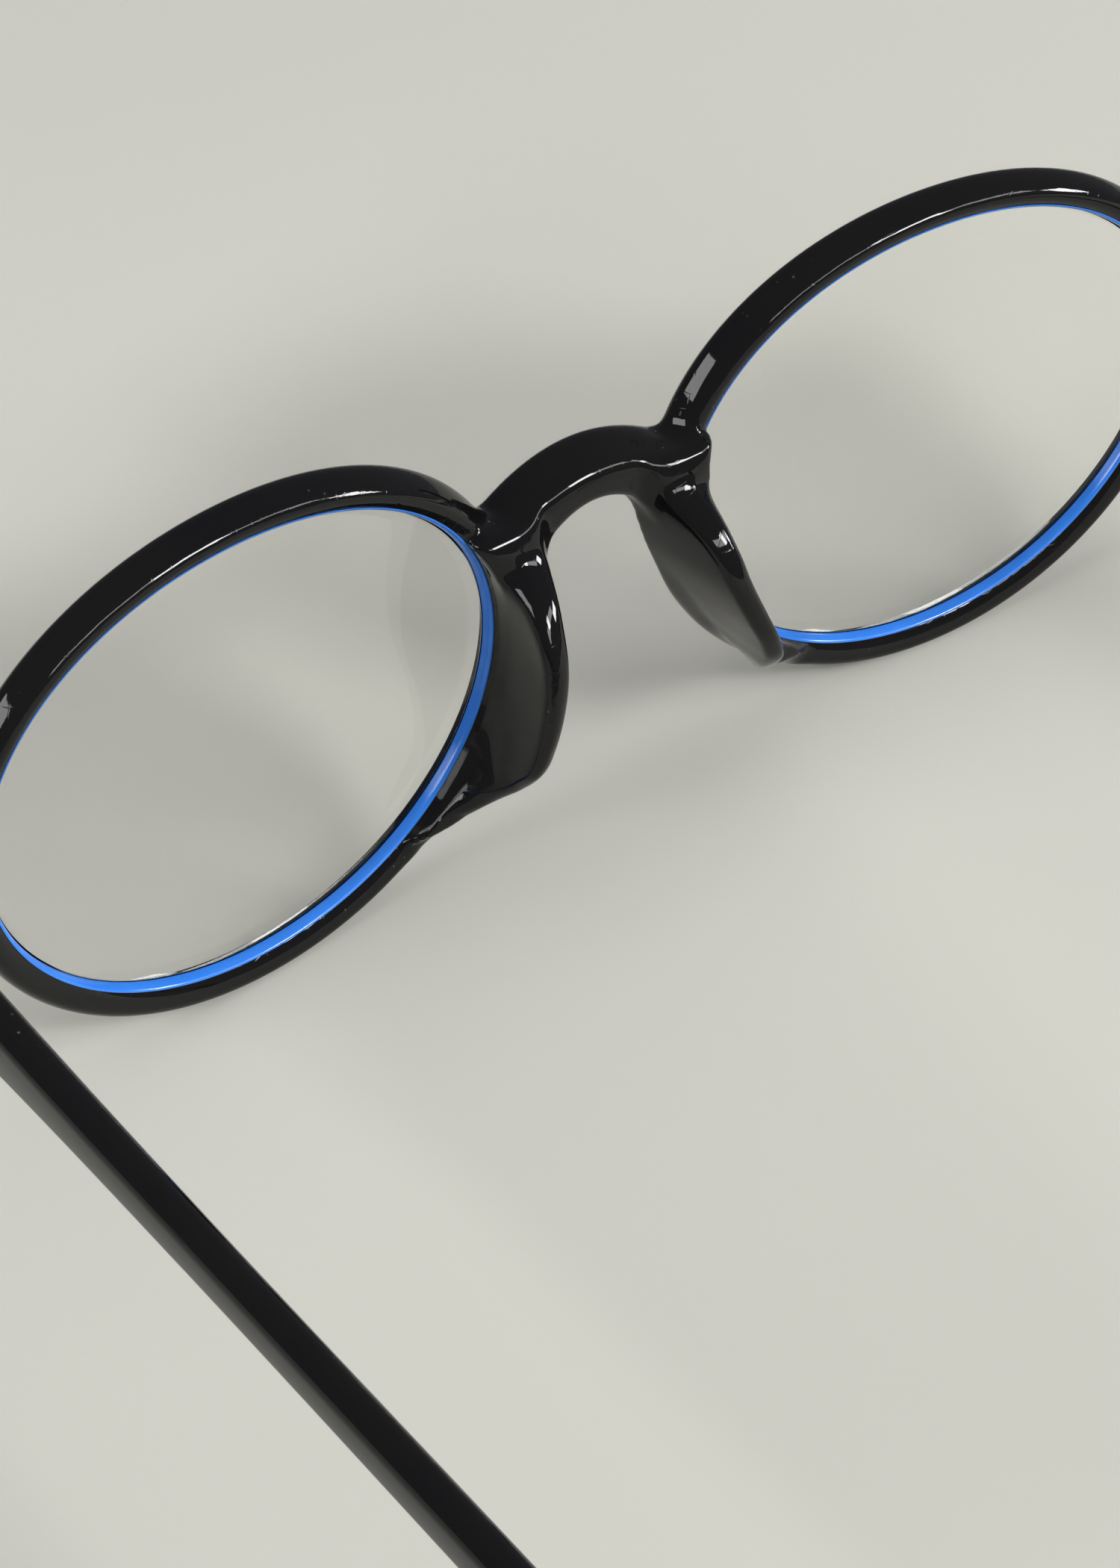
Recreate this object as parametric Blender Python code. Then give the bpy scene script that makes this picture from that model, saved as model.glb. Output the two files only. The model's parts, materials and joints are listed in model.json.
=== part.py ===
"""Round acetate eyeglasses with clear filter lenses, a blue ring round each lens and folding temples.

Everything is drawn in the front's own frame, in millimetres: +X to the wearer's left, +Y to the rear,
+Z up in the plane of the front, with the origin between the lenses on the rear face. The empty "stand"
then leans the glasses as they rest on a table, on both rims and both temple tips.
"""

import math

import bmesh
import bpy
from mathutils import Matrix, Vector

MM = 0.001
GAP = 0.3

# Lens openings, measured at the rear lip of the rim
OPENING_HALF_W = 23.5
OPENING_HALF_H = 19.8
OPENING_POWER = 2.03
TOP_FLARE = 0.054
OPENING_X = 33.25
OPENING_Z = -0.6
WRAP = math.radians(4.5)
NORMAL_STEP = 0.01

# Rims
RIM_TOP_W = 3.0
RIM_BOTTOM_W = 2.6
RIM_NASAL_SWELL = 0.4
NASAL_ANGLE = math.radians(145)
RIM_D = 3.6
RIM_STATIONS = 56
SEAT_W = 0.85
SEAT_D = 1.45
GROOVE_REAR = 1.7
GROOVE_FRONT = 3.0
GROOVE_DEPTH = 0.95

# Blue rings and lenses
RING_W = 0.55
RING_REAR = 0.1
LENS_STATIONS = 48
LENS_REAR = 1.55
LENS_THICK = 1.7
LENS_SAG = 2.0
LENS_EDGE = 0.55

# Bridge: an arch whose top slopes down to the rear
BRIDGE_FRONT_Y = -5.4
BRIDGE_REAR_Y = -1.2
BRIDGE_TOP_Z = 12.0
BRIDGE_CURVE = 0.041
BRIDGE_HEIGHT = 4.6
BRIDGE_REAR_DROP = 1.8
BRIDGE_HALF_SPAN = 8.6

# End pieces
END_X = 68.2
END_REAR_Y = 3.6
END_Z = 5.2

# Hinges: five barrels on one upright axis
AXIS_X = 62.8
AXIS_Y = 5.7
KNUCKLE_R = 1.5
KNUCKLE_BORE_R = 0.85
KNUCKLE_H = 0.8
KNUCKLE_PITCH = 1.0
LEAF_T = 0.6
LEAF_H = 4.8
SCREW_R = 0.55
SCREW_HEAD_R = 1.15
SCREW_HEAD_H = 0.6
RIVET_R = 0.6

# Temples
PANTO = math.radians(2.8)
SPLAY = math.radians(3.0)
TEMPLE_X = 3.2
TEMPLE_T = 2.9
TEMPLE_STRAIGHT = 95.0
TEMPLE_BEND_R = 28.0
TEMPLE_BEND = math.radians(42.0)
TEMPLE_TIP = 32.0
CORE_R = 0.45
CORE_START = 10.6
CORE_END = 128.0

BLACK = ("black_acetate", (0.008, 0.008, 0.01), 0.12, 0.0)
BLUE = ("blue_ring", (0.02, 0.12, 0.75), 0.2, 0.0)
CLEAR = ("clear_lens", (0.93, 0.95, 0.92), 0.02, 0.0)
STEEL = ("hinge_steel", (0.55, 0.56, 0.58), 0.28, 1.0)
WIRE = ("core_wire", (0.5, 0.5, 0.52), 0.35, 1.0)


def material(spec):
    name, colour, roughness, metallic = spec
    found = bpy.data.materials.get(name)
    if found:
        return found
    made = bpy.data.materials.new(name)
    made.use_nodes = True
    shader = made.node_tree.nodes["Principled BSDF"]
    shader.inputs["Base Color"].default_value = (*colour, 1.0)
    shader.inputs["Roughness"].default_value = roughness
    shader.inputs["Metallic"].default_value = metallic
    return made


def clear_scene():
    for item in list(bpy.data.objects):
        bpy.data.objects.remove(item, do_unlink=True)


def empty(name, location, parent=None):
    made = bpy.data.objects.new(name, None)
    bpy.context.scene.collection.objects.link(made)
    made.location = Vector(location) * MM
    made.parent = parent
    return made


def mesh_object(name, bm, spec=BLACK, parent=None):
    bmesh.ops.recalc_face_normals(bm, faces=bm.faces)
    bmesh.ops.scale(bm, vec=(MM, MM, MM), verts=bm.verts)
    mesh = bpy.data.meshes.new(name)
    bm.to_mesh(mesh)
    bm.free()
    mesh.shade_smooth()
    mesh.set_sharp_from_angle(angle=math.radians(35))
    mesh.materials.append(material(spec))
    made = bpy.data.objects.new(name, mesh)
    bpy.context.scene.collection.objects.link(made)
    made.parent = parent
    return made


def loft(rings, closed=False):
    """A closed body through rings of points. An open loft gets a cap on each end."""
    bm = bmesh.new()
    rows = [[bm.verts.new(p) for p in ring] for ring in rings]
    count = len(rows[0])
    last = len(rows) if closed else len(rows) - 1
    for i in range(last):
        here, there = rows[i], rows[(i + 1) % len(rows)]
        for k in range(count):
            j = (k + 1) % count
            bm.faces.new((here[k], here[j], there[j], there[k]))
    if not closed:
        bm.faces.new(rows[0])
        bm.faces.new(rows[-1])
    return bm


def box(low, high):
    x0, y0, z0 = low
    x1, y1, z1 = high
    rings = [[(x0, y0, z), (x1, y0, z), (x1, y1, z), (x0, y1, z)] for z in (z0, z1)]
    return loft(rings)


def rod(start, end, radius, sides=12):
    """A straight round bar between two points."""
    start, end = Vector(start), Vector(end)
    turn = (end - start).to_track_quat("Z", "Y")
    rings = []
    for centre in (start, end):
        ring = []
        for k in range(sides):
            a = 2 * math.pi * k / sides
            ring.append(centre + turn @ Vector((radius * math.cos(a), radius * math.sin(a), 0)))
        rings.append(ring)
    return loft(rings)


def rounded_rectangle(half_a, half_b, radius, steps=2):
    """Points of a rounded rectangle round the origin, anticlockwise."""
    points = []
    for quarter in range(4):
        sign_a = 1 if quarter in (0, 3) else -1
        sign_b = 1 if quarter < 2 else -1
        for k in range(steps + 1):
            a = math.pi / 2 * (quarter + k / steps)
            points.append(
                (
                    sign_a * (half_a - radius) + radius * math.cos(a),
                    sign_b * (half_b - radius) + radius * math.sin(a),
                )
            )
    return points


def combine(target, others, operation):
    """Joins or cuts the other objects into the target, then removes them."""
    for other in others:
        modifier = target.modifiers.new("combine", "BOOLEAN")
        modifier.operation = operation
        modifier.solver = "EXACT"
        modifier.object = other
        bpy.context.view_layer.update()
        graph = bpy.context.evaluated_depsgraph_get()
        result = bpy.data.meshes.new_from_object(target.evaluated_get(graph))
        target.modifiers.clear()
        target.data = result
    for other in others:
        bpy.data.objects.remove(other, do_unlink=True)
    target.data.shade_smooth()
    target.data.set_sharp_from_angle(angle=math.radians(35))


def opening_point(angle):
    """A point of the lens opening's outline, from the centre of the opening."""
    c, s = math.cos(angle), math.sin(angle)
    power = 2 / OPENING_POWER
    z = OPENING_HALF_H * math.copysign(abs(s) ** power, s)
    x = OPENING_HALF_W * math.copysign(abs(c) ** power, c)
    return Vector((x * (1 + TOP_FLARE * z / OPENING_HALF_H), z))


def opening_normal(angle):
    along = opening_point(angle + NORMAL_STEP) - opening_point(angle - NORMAL_STEP)
    return Vector((along.y, -along.x)).normalized()


def rim_width(angle):
    middle = (RIM_TOP_W + RIM_BOTTOM_W) / 2
    swell = RIM_NASAL_SWELL * max(0.0, math.cos(angle - NASAL_ANGLE)) ** 2
    return middle + (RIM_TOP_W - RIM_BOTTOM_W) / 2 * math.sin(angle) + swell


def on_front(x, y, z, side):
    """Turns a point of one lens plane (x outwards, y to the rear) into the front's frame."""
    out = x * math.cos(WRAP) - y * math.sin(WRAP)
    rear = x * math.sin(WRAP) + y * math.cos(WRAP)
    return Vector((side * (OPENING_X + out), rear, OPENING_Z + z))


def ring_body(side, stations, section):
    """A ring that follows the lens opening. section(angle) gives (offset outwards, depth) points."""
    rings = []
    for k in range(stations):
        angle = 2 * math.pi * k / stations
        edge, normal = opening_point(angle), opening_normal(angle)
        ring = []
        for out, y in section(angle):
            p = edge + normal * out
            ring.append(on_front(p.x, y, p.y, side))
        rings.append(ring)
    return loft(rings, closed=True)


def rim_section(angle):
    w = rim_width(angle)
    groove_mid = (GROOVE_REAR + GROOVE_FRONT) / 2
    return [
        (SEAT_W, 0),
        (w - 0.9, 0),
        (w - 0.25, -0.3),
        (w, -1.0),
        (w, -RIM_D + 1.1),
        (w - 0.35, -RIM_D + 0.35),
        (w - 1.1, -RIM_D),
        (0.5, -RIM_D),
        (0, -RIM_D + 0.4),
        (0, -GROOVE_FRONT),
        (GROOVE_DEPTH, -groove_mid - 0.1),
        (GROOVE_DEPTH, -groove_mid + 0.1),
        (0, -GROOVE_REAR),
        (0, -SEAT_D),
        (SEAT_W, -SEAT_D),
    ]


def blue_ring_section(angle):
    front = SEAT_D - GAP
    chamfer = RING_W * 0.6
    return [
        (RING_W, -RING_REAR),
        (RING_W, -front),
        (0, -front),
        (0, -RING_REAR - chamfer),
        (chamfer * 0.4, -RING_REAR),
    ]


def bridge_arch(x):
    """Height of the bridge's top edge above the lens centre line."""
    return BRIDGE_TOP_Z - BRIDGE_CURVE * x * x


def make_bridge():
    rings = []
    count = 12
    for k in range(count + 1):
        x = BRIDGE_HALF_SPAN * (2 * k / count - 1)
        top = bridge_arch(x)
        low = top - BRIDGE_HEIGHT - 0.012 * x * x
        rear_top = top - BRIDGE_REAR_DROP
        rings.append(
            [
                (x, BRIDGE_FRONT_Y, low + 1.0),
                (x, BRIDGE_FRONT_Y, top - 1.0),
                (x, BRIDGE_FRONT_Y + 0.8, top),
                (x, BRIDGE_REAR_Y - 0.5, rear_top),
                (x, BRIDGE_REAR_Y, rear_top - 0.6),
                (x, BRIDGE_REAR_Y, low + 0.6),
                (x, BRIDGE_REAR_Y - 0.6, low),
                (x, BRIDGE_FRONT_Y + 0.8, low),
            ]
        )
    return mesh_object("bridge", loft(rings))


# Nose pad sections, from top to bottom: height, rear reach, x of the rear edge's lens side and nose side,
# x of the base's nose side. The base's lens side follows the ring's seat.
PAD_SECTIONS = [
    (9.6, -1.1, 8.0, 6.2, 5.0),
    (7.4, 0.5, 9.3, 6.6, 4.4),
    (4.4, 3.3, 9.6, 7.0, 4.7),
    (1.9, 5.4, 9.7, 7.8, 5.2),
    (-0.8, 6.2, 9.9, 8.3, 5.8),
    (-4.3, 6.9, 11.0, 9.5, 7.3),
    (-7.1, 7.0, 12.1, 10.6, 8.8),
    (-9.2, 6.7, 12.7, 11.2, 10.0),
    (-11.8, 4.9, 13.3, 11.7, 11.4),
    (-14.0, 2.5, 14.6, 12.8, 13.4),
    (-15.8, 0.9, 16.4, 14.4, 15.4),
    (-16.8, 0.2, 17.6, 16.0, 16.8),
]
PAD_BASE_Y = -2.6


def nasal_seat(height):
    """x of the ring seat's outer wall on the nose side, at a height of the front's frame."""
    best = None
    for k in range(90, 271):
        angle = math.radians(k)
        p = opening_point(angle) + opening_normal(angle) * SEAT_W
        place = on_front(p.x, 0, p.y, 1)
        if best is None or abs(place.z - height) < abs(best.z - height):
            best = place
    return best.x


def make_pad(side):
    rings = []
    for z, reach, rear_lens, rear_nose, base_nose in PAD_SECTIONS:
        tip = min(0.7, (reach - PAD_BASE_Y) / 4)
        seat = nasal_seat(z)
        step_y = min(0.0, reach - tip - 0.2)
        rings.append(
            [
                (side * (seat - 0.1), PAD_BASE_Y, z),
                (side * seat, step_y, z),
                (side * rear_lens, reach - tip, z),
                (side * (rear_lens - 0.45), reach, z),
                (side * (rear_nose + 0.45), reach, z),
                (side * rear_nose, reach - tip, z),
                (side * base_nose, PAD_BASE_Y, z),
            ]
        )
    return mesh_object("pad", loft(rings))


# End piece sections along X: x, front y, rear y, half height
END_SECTIONS = [
    (57.9, -1.7, 1.2, 3.9),
    (60.2, -1.75, 2.4, 3.7),
    (61.6, -1.7, END_REAR_Y, 3.6),
    (65.5, -1.35, END_REAR_Y, 3.4),
    (67.4, -0.9, END_REAR_Y, 3.2),
    (END_X, -0.2, END_REAR_Y, 2.9),
]


def make_end_piece(side):
    rings = []
    for x, front, rear, half in END_SECTIONS:
        middle, depth = (front + rear) / 2, (rear - front) / 2
        ring = [
            (side * x, middle + a, END_Z + b)
            for a, b in rounded_rectangle(depth, half, 0.9)
        ]
        rings.append(ring)
    return mesh_object("end_piece", loft(rings))


def leaf_levels(temple):
    """Heights of the knuckles of one leaf: three on the front, two on the temple."""
    steps = (-1, 1) if temple else (-2, 0, 2)
    return [END_Z + step * KNUCKLE_PITCH for step in steps]


def make_front(stand):
    front = mesh_object("frame_front", ring_body(1, RIM_STATIONS, rim_section), BLACK, stand)
    other_rim = mesh_object("rim", ring_body(-1, RIM_STATIONS, rim_section), BLACK, stand)
    pieces = [other_rim, make_bridge()]
    cutters = []
    for side in (1, -1):
        pieces += [make_end_piece(side), make_pad(side)]
        plate = front_plate_box(side, GAP)
        cutters.append(mesh_object("recess", plate))
        for x in FRONT_RIVETS:
            hole = rod((side * x, -4, END_Z), (side * x, END_REAR_Y - 0.5, END_Z), RIVET_R + GAP)
            cutters.append(mesh_object("hole", hole))
    for piece in pieces:
        piece.parent = stand
    for cutter in cutters:
        cutter.parent = stand
    combine(front, pieces, "UNION")
    combine(front, cutters, "DIFFERENCE")
    return front


FRONT_PLATE_X = (60.9, 66.3)
FRONT_RIVETS = (61.8, 65.3)


def front_plate_box(side, grow):
    """The front leaf's plate, or with grow the recess that it sits in."""
    x0, x1 = FRONT_PLATE_X
    low, high = sorted((side * (x0 - grow), side * (x1 + grow)))
    rear = END_REAR_Y + (1.0 if grow else 0.0)
    half = LEAF_H / 2 + grow
    return box((low, END_REAR_Y - LEAF_T - grow, END_Z - half), (high, rear, END_Z + half))


def knuckle(centre, height, spec, parent):
    """One barrel of a hinge, still without its bore."""
    x, y, z = centre
    body = rod((x, y, z - height / 2), (x, y, z + height / 2), KNUCKLE_R, 16)
    return mesh_object("knuckle", body, spec, parent)


def bore_cutter(centre, parent):
    x, y, z = centre
    return mesh_object("bore", rod((x, y, z - 4), (x, y, z + 4), KNUCKLE_BORE_R, 16), STEEL, parent)


def make_front_leaf(name, side, stand):
    leaf = mesh_object(name, front_plate_box(side, 0), STEEL, stand)
    axis = side * AXIS_X
    pieces = []
    for z in leaf_levels(temple=False):
        half = KNUCKLE_H / 2
        web = box((axis - 1.1, END_REAR_Y - 0.3, z - half), (axis + 1.1, AXIS_Y, z + half))
        pieces.append(mesh_object("web", web, STEEL, stand))
        pieces.append(knuckle((axis, AXIS_Y, z), KNUCKLE_H, STEEL, stand))
    combine(leaf, pieces, "UNION")
    combine(leaf, [bore_cutter((axis, AXIS_Y, END_Z), stand)], "DIFFERENCE")
    return leaf


def make_lens(name, side, stand):
    """A dished lens with a ridge round its edge that runs in the rim's groove."""
    ridge = -(GROOVE_REAR + GROOVE_FRONT) / 2
    rear, front = -LENS_REAR, -LENS_REAR - LENS_THICK
    profile = [(-3.5, rear, 0.84), (-GAP, rear, 1.0), (-GAP, ridge + 0.3, 1.0), (LENS_EDGE, ridge, 1.0)]
    profile += [(-GAP, ridge - 0.3, 1.0), (-GAP, front, 1.0), (-3.5, front, 0.84)]
    bm = bmesh.new()
    rows = []
    for out, y, share in profile:
        rows.append(lens_row(bm, side, out, y - LENS_SAG * (1 - share * share), 1.0))
    for share in (0.55, 0.25):
        y = front - LENS_SAG * (1 - share * share)
        rows.append(lens_row(bm, side, 0, y, share))
        y = rear - LENS_SAG * (1 - share * share)
        rows.insert(0, lens_row(bm, side, 0, y, share))
    for here, there in zip(rows, rows[1:]):
        for k in range(LENS_STATIONS):
            j = (k + 1) % LENS_STATIONS
            bm.faces.new((here[k], here[j], there[j], there[k]))
    for row, y in ((rows[0], rear - LENS_SAG), (rows[-1], front - LENS_SAG)):
        centre = bm.verts.new(on_front(0, y, 0, side))
        for k in range(LENS_STATIONS):
            bm.faces.new((row[k], row[(k + 1) % LENS_STATIONS], centre))
    return mesh_object(name, bm, CLEAR, stand)


def lens_row(bm, side, out, y, share):
    row = []
    for k in range(LENS_STATIONS):
        angle = 2 * math.pi * k / LENS_STATIONS
        p = (opening_point(angle) + opening_normal(angle) * out) * share
        row.append(bm.verts.new(on_front(p.x, y, p.y, side)))
    return row


def temple_turn(side):
    """From a temple's own frame (x outwards, y along, z up) to the front's frame."""
    return Matrix.Rotation(side * SPLAY, 3, "Z") @ Matrix.Rotation(-PANTO, 3, "X")


def temple_path(along):
    """Point of the centre line at a length from the hinge axis, and its slope downwards."""
    if along <= TEMPLE_STRAIGHT:
        return along, 0.0, 0.0
    bent = min((along - TEMPLE_STRAIGHT) / TEMPLE_BEND_R, TEMPLE_BEND)
    y = TEMPLE_STRAIGHT + TEMPLE_BEND_R * math.sin(bent)
    z = -TEMPLE_BEND_R * (1 - math.cos(bent))
    rest = along - TEMPLE_STRAIGHT - TEMPLE_BEND_R * bent
    return y + rest * math.cos(bent), z - rest * math.sin(bent), bent


TEMPLE_LENGTH = TEMPLE_STRAIGHT + TEMPLE_BEND_R * TEMPLE_BEND + TEMPLE_TIP

# Temple section along its length: length from the hinge axis, height, thickness, corner radius
TEMPLE_SECTIONS = [
    (-1.4, 6.2, TEMPLE_T, 0.8),
    (4.0, 6.1, TEMPLE_T, 0.9),
    (12.0, 5.6, TEMPLE_T, 1.0),
    (22.0, 4.9, TEMPLE_T, 1.1),
    (38.0, 4.5, 2.8, 1.1),
    (70.0, 4.5, 2.8, 1.1),
    (TEMPLE_STRAIGHT, 4.7, 2.8, 1.1),
    (TEMPLE_STRAIGHT + 5.1, 4.9, 2.8, 1.1),
    (TEMPLE_STRAIGHT + 10.3, 5.1, 2.8, 1.1),
    (TEMPLE_STRAIGHT + 15.4, 5.4, 2.8, 1.1),
    (TEMPLE_STRAIGHT + 20.5, 5.8, 2.8, 1.1),
    (TEMPLE_LENGTH - 18.0, 6.8, 2.8, 1.1),
    (TEMPLE_LENGTH - 6.0, 7.2, 2.7, 1.1),
    (TEMPLE_LENGTH - 2.0, 6.0, 2.3, 1.0),
    (TEMPLE_LENGTH - 0.5, 4.0, 1.5, 0.6),
    (TEMPLE_LENGTH, 2.2, 0.9, 0.3),
]


def temple_ring(side, along, height, thick, radius):
    y, z, slope = temple_path(along)
    turn = temple_turn(side)
    ring = []
    for a, b in rounded_rectangle(thick / 2, height / 2, radius):
        local = Vector((side * (TEMPLE_X + a), y + b * math.sin(slope), z + b * math.cos(slope)))
        ring.append(turn @ local)
    return ring


def make_temple(name, side, hinge):
    rings = [temple_ring(side, *row) for row in TEMPLE_SECTIONS]
    butt_y = END_REAR_Y + GAP - AXIS_Y
    direction = temple_turn(side) @ Vector((0, 1, 0))
    rings[0] = [p + direction * ((butt_y - p.y) / direction.y) for p in rings[0]]
    temple = mesh_object(name, loft(rings), BLACK, hinge)
    cutters = [mesh_object("recess", temple_plate_box(side, GAP), BLACK, hinge)]
    pocket = turned_box(side, (TEMPLE_X - 2.4, 8.4, -0.75), (TEMPLE_X + 0.75, CORE_START, 0.75))
    cutters.append(mesh_object("pocket", pocket, BLACK, hinge))
    cutters.append(mesh_object("bore", core_tube(side, CORE_START - 1, CORE_END + 1, CORE_R + GAP), BLACK, hinge))
    for y in TEMPLE_RIVETS:
        start, end = temple_rivet_ends(side, y)
        over = (end - start).normalized()
        cutters.append(mesh_object("hole", rod(start - over * 0.2, end + over * 1.5, RIVET_R + GAP), BLACK, hinge))
    combine(temple, cutters, "DIFFERENCE")
    return temple


TEMPLE_RIVETS = (2.6, 6.6)
TEMPLE_PLATE_Y = (-0.9, 8.6)


def turned_box(side, low, high):
    bm = box(low, high)
    bmesh.ops.scale(bm, vec=(side, 1, 1), verts=bm.verts)
    bmesh.ops.transform(bm, matrix=temple_turn(side).to_4x4(), verts=bm.verts)
    return bm


def temple_plate_box(side, grow):
    """The temple leaf's plate, or with grow the recess that it sits in."""
    inner = TEMPLE_X - TEMPLE_T / 2
    y0, y1 = TEMPLE_PLATE_Y
    half = LEAF_H / 2 + grow - 0.1
    low = (inner - (1.0 if grow else 0.05), y0 - grow, -half)
    high = (inner + LEAF_T + grow, y1 + grow, half)
    return turned_box(side, low, high)


def temple_rivet_ends(side, y):
    """Ends of a rivet's shaft: at the plate, and at the temple's outer face."""
    turn = temple_turn(side)
    inner = TEMPLE_X - TEMPLE_T / 2 + LEAF_T + GAP
    outer = TEMPLE_X + TEMPLE_T / 2
    return turn @ Vector((side * inner, y, 0)), turn @ Vector((side * outer, y, 0))


def core_tube(side, start, end, radius):
    turn = temple_turn(side)
    count = 22
    rings = []
    for i in range(count + 1):
        y, z, slope = temple_path(start + (end - start) * i / count)
        ring = []
        for k in range(8):
            a = 2 * math.pi * (k + 0.5) / 8
            across, up = radius * math.cos(a), radius * math.sin(a)
            local = (side * (TEMPLE_X + across), y + up * math.sin(slope), z + up * math.cos(slope))
            ring.append(turn @ Vector(local))
        rings.append(ring)
    return loft(rings)


def make_temple_leaf(name, side, hinge):
    leaf = mesh_object(name, temple_plate_box(side, 0), STEEL, hinge)
    pieces = []
    for z in leaf_levels(temple=True):
        level, half = z - END_Z, KNUCKLE_H / 2
        reach = side * (TEMPLE_X - TEMPLE_T / 2 + 0.25)
        low, high = sorted((0, reach))
        web = box((low, -0.55, level - half), (high, 1.1, level + half))
        pieces.append(mesh_object("web", web, STEEL, hinge))
        pieces.append(knuckle((0, 0, level), KNUCKLE_H, STEEL, hinge))
    combine(leaf, pieces, "UNION")
    combine(leaf, [bore_cutter((0, 0, 0), hinge)], "DIFFERENCE")
    return leaf


def make_screw(name, side, stand):
    """A slotted screw down the hinge axis, its head on the top knuckle."""
    top = END_Z + 2 * KNUCKLE_PITCH + KNUCKLE_H / 2 + GAP
    low = END_Z - 2 * KNUCKLE_PITCH - KNUCKLE_H / 2 - 0.1
    x, y = side * AXIS_X, AXIS_Y
    screw = mesh_object(name, rod((x, y, low), (x, y, top + 0.1), SCREW_R), STEEL, stand)
    head = rod((x, y, top), (x, y, top + SCREW_HEAD_H), SCREW_HEAD_R, 16)
    slot = box((x - 2, y - 0.14, top + 0.3), (x + 2, y + 0.14, top + 2))
    combine(screw, [mesh_object("head", head, STEEL, stand)], "UNION")
    combine(screw, [mesh_object("slot", slot, STEEL, stand)], "DIFFERENCE")
    return screw


def make_hinge_parts(word, side, stand):
    hinge = empty("hinge_" + word, (side * AXIS_X, AXIS_Y, END_Z), stand)
    make_front_leaf("front_hinge_leaf_" + word, side, stand)
    make_screw("hinge_screw_" + word, side, stand)
    for place, x in zip(("inner", "outer"), FRONT_RIVETS):
        front_y = -1.25 if place == "outer" else -1.6
        shaft = rod((side * x, front_y, END_Z), (side * x, END_REAR_Y - LEAF_T - GAP, END_Z), RIVET_R)
        mesh_object(f"front_rivet_{place}_{word}", shaft, STEEL, stand)
    make_temple("temple_" + word, side, hinge)
    make_temple_leaf("temple_hinge_leaf_" + word, side, hinge)
    mesh_object("core_wire_" + word, core_tube(side, CORE_START, CORE_END, CORE_R), WIRE, hinge)
    for place, y in zip(("front", "rear"), TEMPLE_RIVETS):
        start, end = temple_rivet_ends(side, y)
        mesh_object(f"temple_rivet_{place}_{word}", rod(start, end, RIVET_R), STEEL, hinge)


def rest_on_table(stand):
    """Leans the stand so that the rims' bottoms and the temple tips reach one level, then centres it."""
    bpy.context.view_layer.update()

    def corners(name):
        item = bpy.data.objects[name]
        return [item.matrix_world @ v.co for v in item.data.vertices]

    front, temple = corners("frame_front"), corners("temple_left")
    lean = 0.0
    for _ in range(6):
        turn = Matrix.Rotation(lean, 3, "X")
        low_front = min(front, key=lambda p: (turn @ p).z)
        low_temple = min(temple, key=lambda p: (turn @ p).z)
        lean = math.atan2(low_front.z - low_temple.z, low_temple.y - low_front.y)
    stand.rotation_euler = (lean, 0, 0)
    bpy.context.view_layer.update()
    points = [p for item in bpy.data.objects if item.type == "MESH" for p in corners(item.name)]
    low_y, high_y = min(p.y for p in points), max(p.y for p in points)
    stand.location = (0, -(low_y + high_y) / 2, -min(p.z for p in points))
    bpy.context.view_layer.update()


def main():
    clear_scene()
    stand = empty("stand", (0, 0, 0))
    make_front(stand)
    for word, side in (("left", 1), ("right", -1)):
        make_lens("lens_" + word, side, stand)
        ring = ring_body(side, RIM_STATIONS, blue_ring_section)
        mesh_object("lens_ring_" + word, ring, BLUE, stand)
        make_hinge_parts(word, side, stand)
    rest_on_table(stand)


main()
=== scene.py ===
"""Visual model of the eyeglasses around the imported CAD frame.

Lengths in the tables are millimetres in the front's own frame: +X to the wearer's left, +Y to the rear,
+Z up in the plane of the front, origin between the lenses on the rear face. The frame's own hinge
joints give the lean and place of that frame on the table.
"""

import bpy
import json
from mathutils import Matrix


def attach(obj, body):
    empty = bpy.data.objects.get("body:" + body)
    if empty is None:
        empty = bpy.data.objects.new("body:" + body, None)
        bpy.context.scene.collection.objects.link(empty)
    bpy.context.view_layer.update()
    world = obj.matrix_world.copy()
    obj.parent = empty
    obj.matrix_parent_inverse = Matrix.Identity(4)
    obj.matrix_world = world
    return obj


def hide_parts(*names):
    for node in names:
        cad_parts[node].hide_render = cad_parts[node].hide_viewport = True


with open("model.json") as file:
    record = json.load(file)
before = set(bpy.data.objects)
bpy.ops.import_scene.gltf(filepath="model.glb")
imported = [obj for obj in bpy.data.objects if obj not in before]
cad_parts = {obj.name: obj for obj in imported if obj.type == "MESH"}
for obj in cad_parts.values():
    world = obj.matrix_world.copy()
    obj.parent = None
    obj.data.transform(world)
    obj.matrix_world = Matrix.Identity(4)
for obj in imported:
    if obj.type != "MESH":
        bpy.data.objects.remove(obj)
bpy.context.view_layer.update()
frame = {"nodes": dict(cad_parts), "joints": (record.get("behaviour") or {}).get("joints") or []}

import json
import math

import bmesh
import bpy
import numpy as np
from mathutils import Matrix, Vector

MM = 0.001

# Lens openings, measured at the rear lip of the rim
OPENING_HALF_W = 23.5
OPENING_HALF_H = 19.8
OPENING_POWER = 2.03
TOP_FLARE = 0.054
OPENING_X = 33.25
OPENING_Z = -0.6
WRAP = math.radians(4.5)
OUTLINE_POINTS = 1440

# Rims
RIM_TOP_W = 2.9
RIM_BOTTOM_W = 2.65
RIM_NASAL_SWELL = 0.4
NASAL_ANGLE = math.radians(145)
RIM_D = 3.6
RIM_ROUND = 0.85
RIM_FRONT_ROUND_TOP = 1.7
RIM_FRONT_ROUND_LOW = 1.1
RIM_LIP_TOP = 1.4
RIM_LIP_LOW = 3.0
RIM_BEVEL = math.radians(54)
SEAT_W = 0.42
OVERHANG = 0.15
RING_REAR = 0.55
SEAT_D = 1.5
GROOVE_REAR = 1.75
GROOVE_FRONT = 3.0
GROOVE_DEPTH = 0.9
FRONT_LIP = 0.6

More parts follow.
